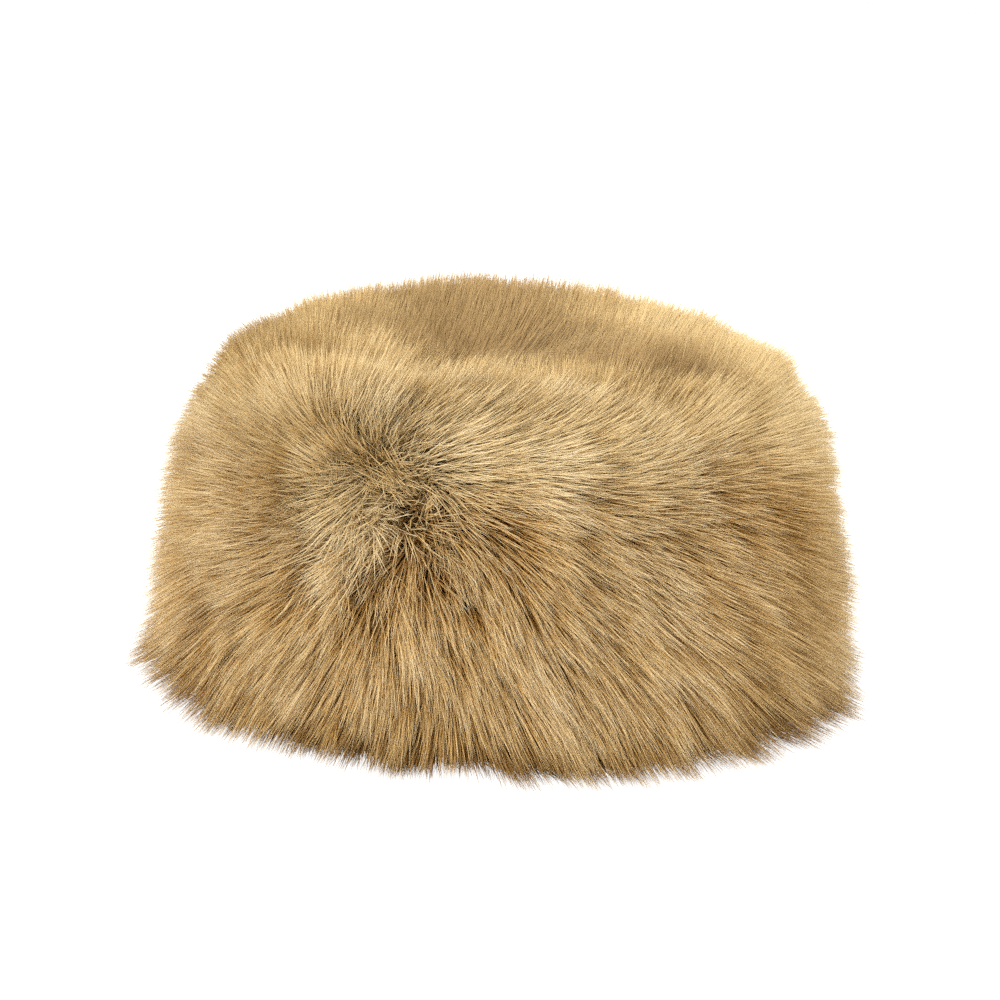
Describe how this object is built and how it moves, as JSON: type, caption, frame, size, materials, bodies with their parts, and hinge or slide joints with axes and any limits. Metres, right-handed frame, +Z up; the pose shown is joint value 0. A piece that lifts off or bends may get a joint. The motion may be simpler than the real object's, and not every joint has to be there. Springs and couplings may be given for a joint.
{
  "type": "fur hat",
  "caption": "Round brimless hat of long-pile fur cloth with an upright side band and a flat, slightly dished crown, open underneath for the head.",
  "frame": {"origin": "on the floor, below the middle of the head opening", "axes": "+Z up to the crown, front towards -Y, +X to the right of someone who faces the front"},
  "size_m": [0.2834, 0.2968, 0.1487],
  "materials": {
    "fur": "camel long-pile fur with dark roots and pale tips"
  },
  "bodies": {
    "root": {"side_band": "fur", "crown_top": "fur"}
  },
  "joints": []
}
